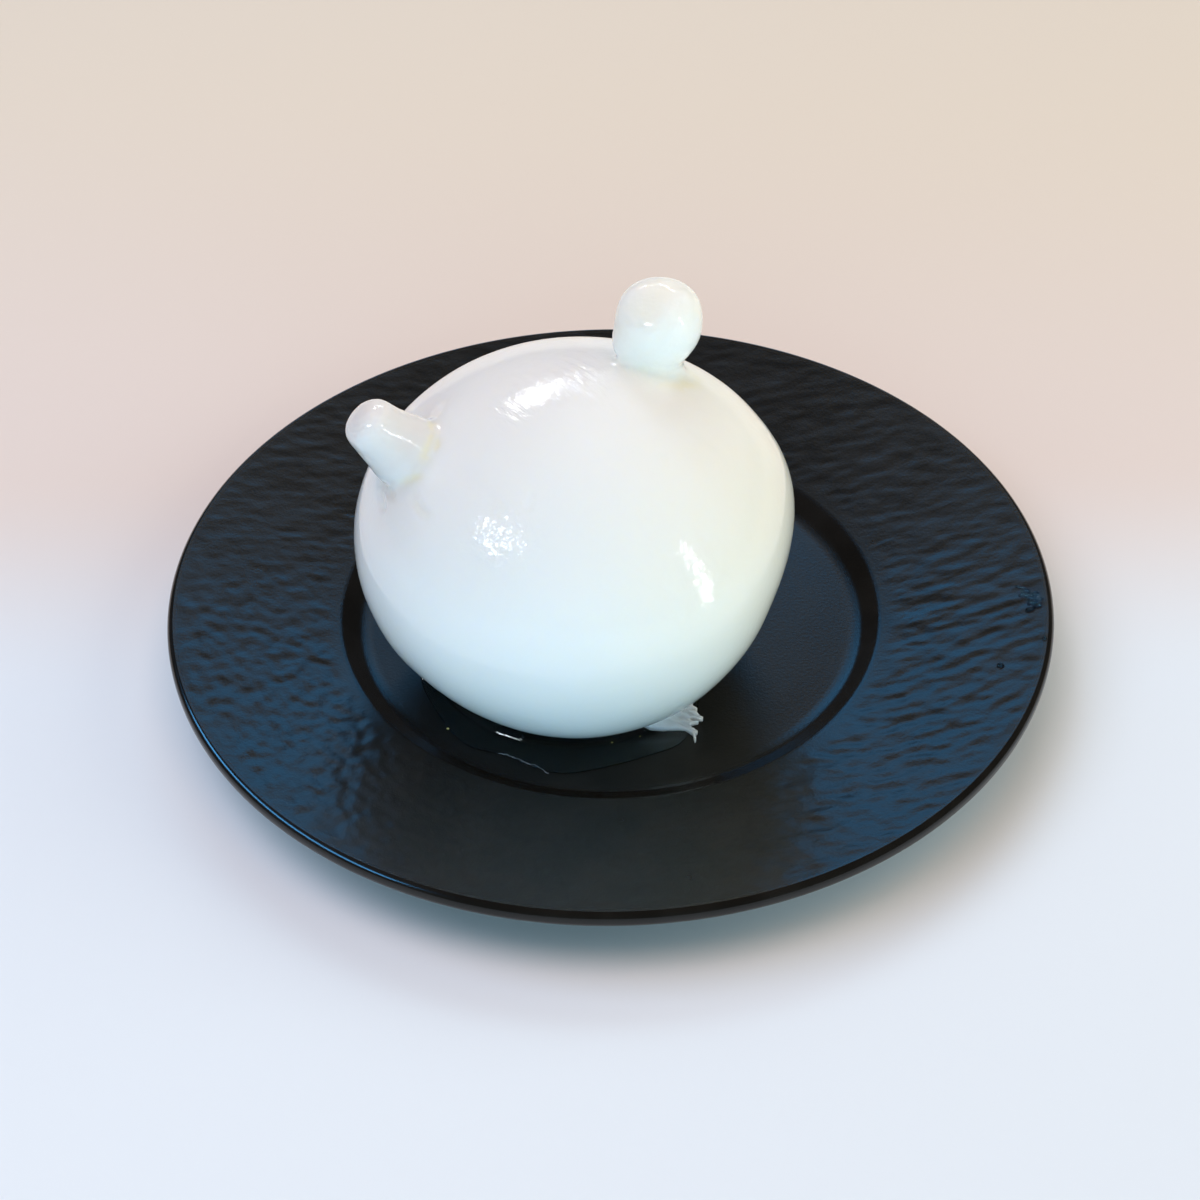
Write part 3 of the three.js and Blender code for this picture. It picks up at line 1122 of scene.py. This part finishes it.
def crease_skin(obj):
    """Press the creases into the skin, and give their stain by vertex."""
    tree = kdtree.KDTree(len(obj.data.vertices))
    for vertex in obj.data.vertices:
        tree.insert(vertex.co, vertex.index)
    tree.balance()
    press = {}
    stain = {}
    for (depth, width, colour), points in CREASES:
        places = [Vector(point) * MM for point in points]
        for i in range(len(places) - 1):
            for step in range(CREASE_STEPS):
                part = step / CREASE_STEPS
                _, index, _ = tree.find(places[i].lerp(places[i + 1], part))
                whole = (i + part) / (len(places) - 1)
                fade = ease(whole, 0, CREASE_FADE) * (1 - ease(whole, 1 - CREASE_FADE, 1))
                nearby = tree.find_range(obj.data.vertices[index].co, CREASE_REACH * width * MM)
                for _, near_index, distance in nearby:
                    away = distance / (width * MM)
                    dent = depth * math.exp(-(away**2)) * fade
                    tint = colour * math.exp(-((away / STAIN_SPREAD) ** 2)) * fade
                    press[near_index] = max(press.get(near_index, 0), dent)
                    stain[near_index] = max(stain.get(near_index, 0), tint)
    group = obj.vertex_groups.new(name="creases")
    for index, value in press.items():
        group.add([index], value, "REPLACE")
    finish_modifier(obj, "DISPLACE", vertex_group="creases", strength=-1.0 * MM, mid_level=0.0)
    return stain


def collar_stain(co):
    """Stain of the ring at the round knob's foot, at its right."""
    from_base = co - Vector(ROUND_KNOB["base"]) * MM
    out = (from_base.xy.length - COLLAR_RADIUS) / COLLAR_WIDTH
    up = (from_base.z + COLLAR_DROP) / COLLAR_HEIGHT
    return COLLAR_STAIN * math.exp(-(out**2) - up**2) * ease(co.x, *COLLAR_RUN)


class MOZZARELLA_OT_cheese(bpy.types.Operator):
    """Shape the ball with its knobs, and press creases and wrinkles into its skin"""

    bl_idname = "mozzarella.cheese"
    bl_label = "Mozzarella"

    def execute(self, context):
        cheese = context.scene.mozzarella_cheese
        floor_height = context.scene.mozzarella_dish.floor_height
        body = ball("ball", floor_height)
        bpy.ops.object.mode_set(mode="EDIT")
        push_rows(body, (STUB_DENT,))
        knobs = [make_knob("round knob", ROUND_KNOB), make_knob("stub knob", STUB_KNOB)]
        obj = join([body, *knobs], "mozzarella_ball")
        remesh(obj, cheese.voxel, SKIN_SMOOTHING)
        weigh(obj, "stub base", spots(STUB_BASE))
        finish_modifier(obj, "SMOOTH", factor=0.5, iterations=STUB_SMOOTHING, vertex_group="stub base")
        weigh(obj, "knob base", spots(KNOB_BASE))
        finish_modifier(obj, "SMOOTH", factor=0.5, iterations=KNOB_SMOOTHING, vertex_group="knob base")
        self.wrinkle(obj, cheese, floor_height)
        stain = crease_skin(obj)
        obj.vertex_groups.clear()
        self.keep_tones(obj, stain)
        smooth(obj)
        skin = cheese_skin(cheese)
        belongs(obj, skin, "mozzarella")
        self.make_flap(context, skin)
        return {"FINISHED"}

    def wrinkle(self, obj, cheese, floor_height):
        """Broad swells all over, and finer wrinkles on top, at the sides and on the stub."""
        low, high = (floor_height + rise for rise in SWELL_RISE)
        weigh(obj, "skin", lambda co: ease(co.z, low, high))
        ripple(obj, "skin", cheese.swell, (17, 17, 17), seed=0.3, detail=0)
        weigh(obj, "top", spots(TOP_RIPPLES))
        ripple(obj, "top", cheese.wrinkle, (6.5, 1.7, 4), seed=0.7, turn=-50)
        weigh(obj, "side", spots(SIDE_RIPPLES))
        ripple(obj, "side", SIDE_RIPPLE_SHARE * cheese.wrinkle, (2.6, 2.6, 2.6), seed=0.1)
        weigh(obj, "stub", spots(STUB_RIPPLES))
        ripple(obj, "stub", STUB_RIPPLE_DEPTH, (3.4, 3.4, 3.4), seed=0.6)

    def keep_tones(self, obj, stain):
        """Keep what the skin's material needs to know of each vertex."""
        # The stub's tone is painted shade, and the round knob's cream is partly painted shade
        wrinkle, pebble, stub, knob = (spots(rows) for rows in (WRINKLES, PEBBLES, STUB_PAINTED_SHADE, KNOB_CREAM_AND_PAINTED_SHADE))

        def cream(co):
            return max(ease(co.x - CREAM_LEAN * co.y, 0, CREAM_REACH), KNOB_CREAM_AND_SHADE_SHARE * knob(co))

        vertices = obj.data.vertices
        stains = [max(stain.get(vertex.index, 0), collar_stain(vertex.co)) for vertex in vertices]
        values = {
            "stain": stains,
            "cream": [cream(vertex.co) for vertex in vertices],
            "wrinkle": [wrinkle(vertex.co) for vertex in vertices],
            "pebble": [max(pebble(vertex.co), LEAST_PEBBLE) for vertex in vertices],
            "tone": [stub(vertex.co) for vertex in vertices],
        }
        for name, row in values.items():
            keep_values(obj, name, row)

    def make_flap(self, context, skin):
        """The torn flap at the foot of the ball, with its strands drooping onto the whey."""
        cheese = context.scene.mozzarella_cheese
        whey = context.scene.mozzarella_whey
        low = context.scene.mozzarella_dish.floor_height + REST_GAP + whey.depth + FLAP_LIFT
        outline = [Vector(point) * MM for point in FLAP_OUTLINE]
        obj = raise_outline("mozzarella_flap", outline, low, low + cheese.flap_thickness)
        deselect()
        remesh(obj, FLAP_VOXEL, FLAP_SMOOTHING)
        weigh(obj, "fold", lambda co: 1 - ease((co.xy - BALL_CENTRE.xy).length, *FOLD_REACH))
        lift(obj, "fold", FOLD_HEIGHT)
        weigh(obj, "torn", lambda co: ease(co.x, *TORN_REACH))
        ripple(obj, "torn", TORN_DEPTH, (4, 1.6, 4), seed=0.4, turn=-20, direction="Z")
        obj.vertex_groups.clear()
        smooth(obj)
        belongs(obj, skin, "mozzarella")


class MOZZARELLA_OT_whey(bpy.types.Operator):
    """Pour the whey round the foot of the cheese, climbing a little where they meet"""

    bl_idname = "mozzarella.whey"
    bl_label = "Whey"

    def execute(self, context):
        whey = context.scene.mozzarella_whey
        floor_height = context.scene.mozzarella_dish.floor_height
        low = floor_height + REST_GAP
        outline = [point * MM for point in closed_curve(WHEY_OUTLINE, WHEY_STEPS)]
        obj = raise_outline("whey_pool", outline, low, low + whey.depth)
        deselect()
        remesh(obj, whey.voxel, WHEY_SMOOTHING)

        def from_ball(co):
            off = co - BALL_CENTRE
            return Vector((off.x / BALL_SEMI_AXES.x, off.y / BALL_SEMI_AXES.y)).length

        def sink(co):
            edge = PUDDLE_EDGE + PUDDLE_LEAN * co.x / MM
            out = ease(from_ball(co), edge - PUDDLE_SLOPE, edge + PUDDLE_SLOPE)
            return out * max((co.z - low) / whey.depth, 0)

        def climb(co):
            if co.z < low + 0.5 * whey.depth:
                return 0.0
            return (1 - ease(from_ball(co), *CLIMB)) ** CLIMB_POWER

        weigh(obj, "film", sink)
        lift(obj, "film", whey.film_depth - whey.depth)
        weigh(obj, "meniscus", climb)
        lift(obj, "meniscus", whey.meniscus)
        obj.vertex_groups.clear()
        cutter = ball("cutter", floor_height, whey.gap)
        finish_modifier(obj, "BOOLEAN", operation="DIFFERENCE", object=cutter, solver="EXACT")
        bpy.data.objects.remove(cutter)
        smooth_by_angle(obj, SHARP_WHEY_EDGE)
        belongs(obj, clear_whey("whey", whey.tint, whey.tint_light), "whey")
        return {"FINISHED"}


class MOZZARELLA_OT_drops(bpy.types.Operator):
    """Set the splash and the single drops on the rim"""

    bl_idname = "mozzarella.drops"
    bl_label = "Drops on the rim"

    def execute(self, context):
        dish = context.scene.mozzarella_dish
        whey = context.scene.mozzarella_whey
        # The drops' dark tint is painted shade
        finish = clear_whey("drops", whey.drop_painted_shade, whey.tint)
        groups = {"splash": SPLASH_LOBES}
        for i, lobe in enumerate(SINGLE_DROPS):
            groups[f"drop_{i}"] = (lobe,)
        for name, lobes in groups.items():
            obj = join([self.drop(lobe, dish) for lobe in lobes], name)
            remesh(obj, DROP_VOXEL, DROP_SMOOTHING)
            smooth(obj)
            belongs(obj, finish)
        return {"FINISHED"}

    def drop(self, lobe, dish):
        """One flattened lobe of water sitting on the sloping rim."""
        x, y, length, width, turn = lobe
        edge = dish.well_radius + dish.well_edge
        slope = (dish.height - dish.rim_edge_height) / (dish.radius - dish.lip_round - edge)
        place = Vector((x, y, 0)) * MM
        place.z = dish.rim_edge_height + slope * (place.xy.length - edge) + DROP_LIFT
        deselect()
        bpy.ops.mesh.primitive_uv_sphere_add(
            segments=DROP_SEGMENTS, ring_count=DROP_RINGS, radius=1, location=place
        )
        obj = bpy.context.view_layer.objects.active
        obj.scale = Vector((length, width, DROP_FLATNESS * width)) * MM
        lean = Matrix.Rotation(math.atan(slope), 3, Vector((place.y, -place.x, 0)).normalized())
        turned = Matrix.Rotation(math.radians(turn), 3, "Z")
        obj.rotation_euler = (lean @ turned).to_euler()
        bpy.ops.object.transform_apply(location=True, rotation=True, scale=True)
        return obj


class MOZZARELLA_OT_residue(bpy.types.Operator):
    """Lay the dried line and the specks of curd at the edge of the whey"""

    bl_idname = "mozzarella.residue"
    bl_label = "Dried line and specks"

    def execute(self, context):
        whey = context.scene.mozzarella_whey
        floor_height = context.scene.mozzarella_dish.floor_height
        draw = random.Random(RESIDUE_SEED)
        self.dried_line(draw, floor_height, dry_film("dried film", whey.film))
        self.curd_specks(draw, floor_height, dry_film("curd", whey.curd))
        return {"FINISHED"}

    def dried_line(self, draw, floor_height, finish):
        """A straying thread of uneven thickness."""
        points = []
        for start, end in zip(DRIED_LINE, DRIED_LINE[1:]):
            for step in range(LINE_STEPS):
                place = Vector(start).lerp(Vector(end), step / LINE_STEPS)
                place += Vector([draw.uniform(-LINE_STRAY, LINE_STRAY) for _ in place])
                points.append(Vector((place.x * MM, place.y * MM, floor_height + LINE_LIFT)))
        line = draw_chain("dried_line", points)
        make_active(line)
        bpy.ops.object.modifier_add(type="SKIN")
        corners = line.data.skin_vertices[0].data
        for corner in corners:
            size = draw.uniform(*LINE_RADIUS) * MM
            corner.radius = (size, LINE_FLATNESS * size)
        corners[0].use_root = True
        bpy.ops.object.modifier_apply(modifier="Skin")
        finish_modifier(line, "SUBSURF", levels=1, render_levels=1)
        smooth(line)
        belongs(line, finish)

    def curd_specks(self, draw, floor_height, finish):
        """Small flattened grains with a rough skin."""
        specks = []
        for x, y, radius in CURD_SPECKS:
            deselect()
            place = (x * MM, y * MM, floor_height + (SPECK_LIFT + SPECK_RISE * radius) * MM)
            bpy.ops.mesh.primitive_ico_sphere_add(subdivisions=3, radius=radius * MM, location=place)
            speck = bpy.context.view_layer.objects.active
            speck.scale = SPECK_SHAPE
            speck.rotation_euler = (0, 0, draw.uniform(0, SPECK_TURN))
            bpy.ops.object.transform_apply(location=True, rotation=True, scale=True)
            specks.append(speck)
        curd = join(specks, "curd_specks")
        weigh(curd, "all", lambda co: 1.0)
        ripple(curd, "all", SPECK_ROUGHNESS, SPECK_CELL, seed=0.9, detail=0)
        curd.vertex_groups.clear()
        smooth(curd)
        belongs(curd, finish)


class MOZZARELLA_OT_stage(bpy.types.Operator):
    """Set up the floor, the lights and the camera"""

    bl_idname = "mozzarella.stage"
    bl_label = "Stage"

    def execute(self, context):
        stage = context.scene.mozzarella_stage
        deselect()
        bpy.ops.mesh.primitive_plane_add(size=FLOOR_SIZE, location=(0, 0, 0))
        floor = named_active("floor")
        floor.data.materials.append(floor_painted_light(stage).material)
        for row in ROOM_LIGHTS:
            self.light(*row).visible_glossy = False
        for group, (rows, pieces) in LIT_PIECES.items():
            lit = bpy.data.collections.new(group)
            for piece in pieces:
                lit.objects.link(bpy.data.objects[piece])
            for row in rows:
                lamp = self.light(*row)
                lamp.light_linking.receiver_collection = lit
                lamp.visible_diffuse = group in SHADING_GROUPS
        world = bpy.data.worlds.new("studio")
        world.use_nodes = True
        background = world.node_tree.nodes["Background"]
        background.inputs["Color"].default_value = (*stage.ambient, 1)
        context.scene.world = world
        context.scene.view_settings.view_transform = "Standard"
        self.camera(context, stage)
        return {"FINISHED"}

    def light(self, name, place, size, glow):
        """One soft rectangular light that faces the cheese, with the glow of its face."""
        deselect()
        bpy.ops.object.light_add(type="AREA", location=place)
        lamp = named_active(name)
        lamp.data.shape = "RECTANGLE"
        lamp.data.size, lamp.data.size_y = size
        lamp.data.energy = math.pi * size[0] * size[1] * max(glow)
        lamp.data.color = [channel / max(glow) for channel in glow]
        toward = Vector(LIGHT_TARGET) - lamp.location
        lamp.rotation_euler = toward.to_track_quat("-Z", "Y").to_euler()
        return lamp

    def camera(self, context, stage):
        """The camera at the photograph's angle."""
        rise, roll = stage.elevation, stage.roll
        back = Vector((0, -math.cos(rise), math.sin(rise)))
        right = Vector((1, 0, 0))
        up = Vector((0, math.sin(rise), math.cos(rise)))
        across = math.cos(roll) * right - math.sin(roll) * up
        along = math.sin(roll) * right + math.cos(roll) * up
        rim = Vector((0, 0, context.scene.mozzarella_dish.height))
        deselect()
        bpy.ops.object.camera_add(
            location=rim + stage.distance * back - stage.offset[0] * across - stage.offset[1] * along
        )
        camera = named_active("camera")
        camera.rotation_euler = Matrix((across, along, back)).transposed().to_euler()
        camera.data.sensor_width = SENSOR_WIDTH
        camera.data.lens = stage.lens
        camera.data.clip_start = CLIP_START
        context.scene.camera = camera


class MOZZARELLA_PT_pieces(bpy.types.Panel):
    """Lists the pieces in the sidebar"""

    bl_idname = "MOZZARELLA_PT_pieces"
    bl_label = "Mozzarella"
    bl_space_type = "VIEW_3D"
    bl_region_type = "UI"
    bl_category = "Mozzarella"

    def draw(self, context):
        for operator in OPERATORS:
            self.layout.operator(operator.bl_idname)


SETTINGS = {
    "mozzarella_dish": DishSettings,
    "mozzarella_cheese": CheeseSettings,
    "mozzarella_whey": WheySettings,
    "mozzarella_stage": StageSettings,
}
OPERATORS = (
    MOZZARELLA_OT_dish,
    MOZZARELLA_OT_cheese,
    MOZZARELLA_OT_whey,
    MOZZARELLA_OT_drops,
    MOZZARELLA_OT_residue,
    MOZZARELLA_OT_stage,
)
CLASSES = (*SETTINGS.values(), *OPERATORS, MOZZARELLA_PT_pieces)


def register():
    """Register the classes and hang the settings on the scene."""
    for item in CLASSES:
        bpy.utils.register_class(item)
    for name, group in SETTINGS.items():
        setattr(bpy.types.Scene, name, PointerProperty(type=group))


def unregister():
    """Take the settings and the classes away again."""
    for name in SETTINGS:
        delattr(bpy.types.Scene, name)
    for item in reversed(CLASSES):
        bpy.utils.unregister_class(item)


def main():
    """Make every piece."""
    register()
    bpy.ops.mozzarella.dish()
    bpy.ops.mozzarella.cheese()
    bpy.ops.mozzarella.whey()
    bpy.ops.mozzarella.drops()
    bpy.ops.mozzarella.residue()
    bpy.ops.mozzarella.stage()


if __name__ == "__main__":
    main()
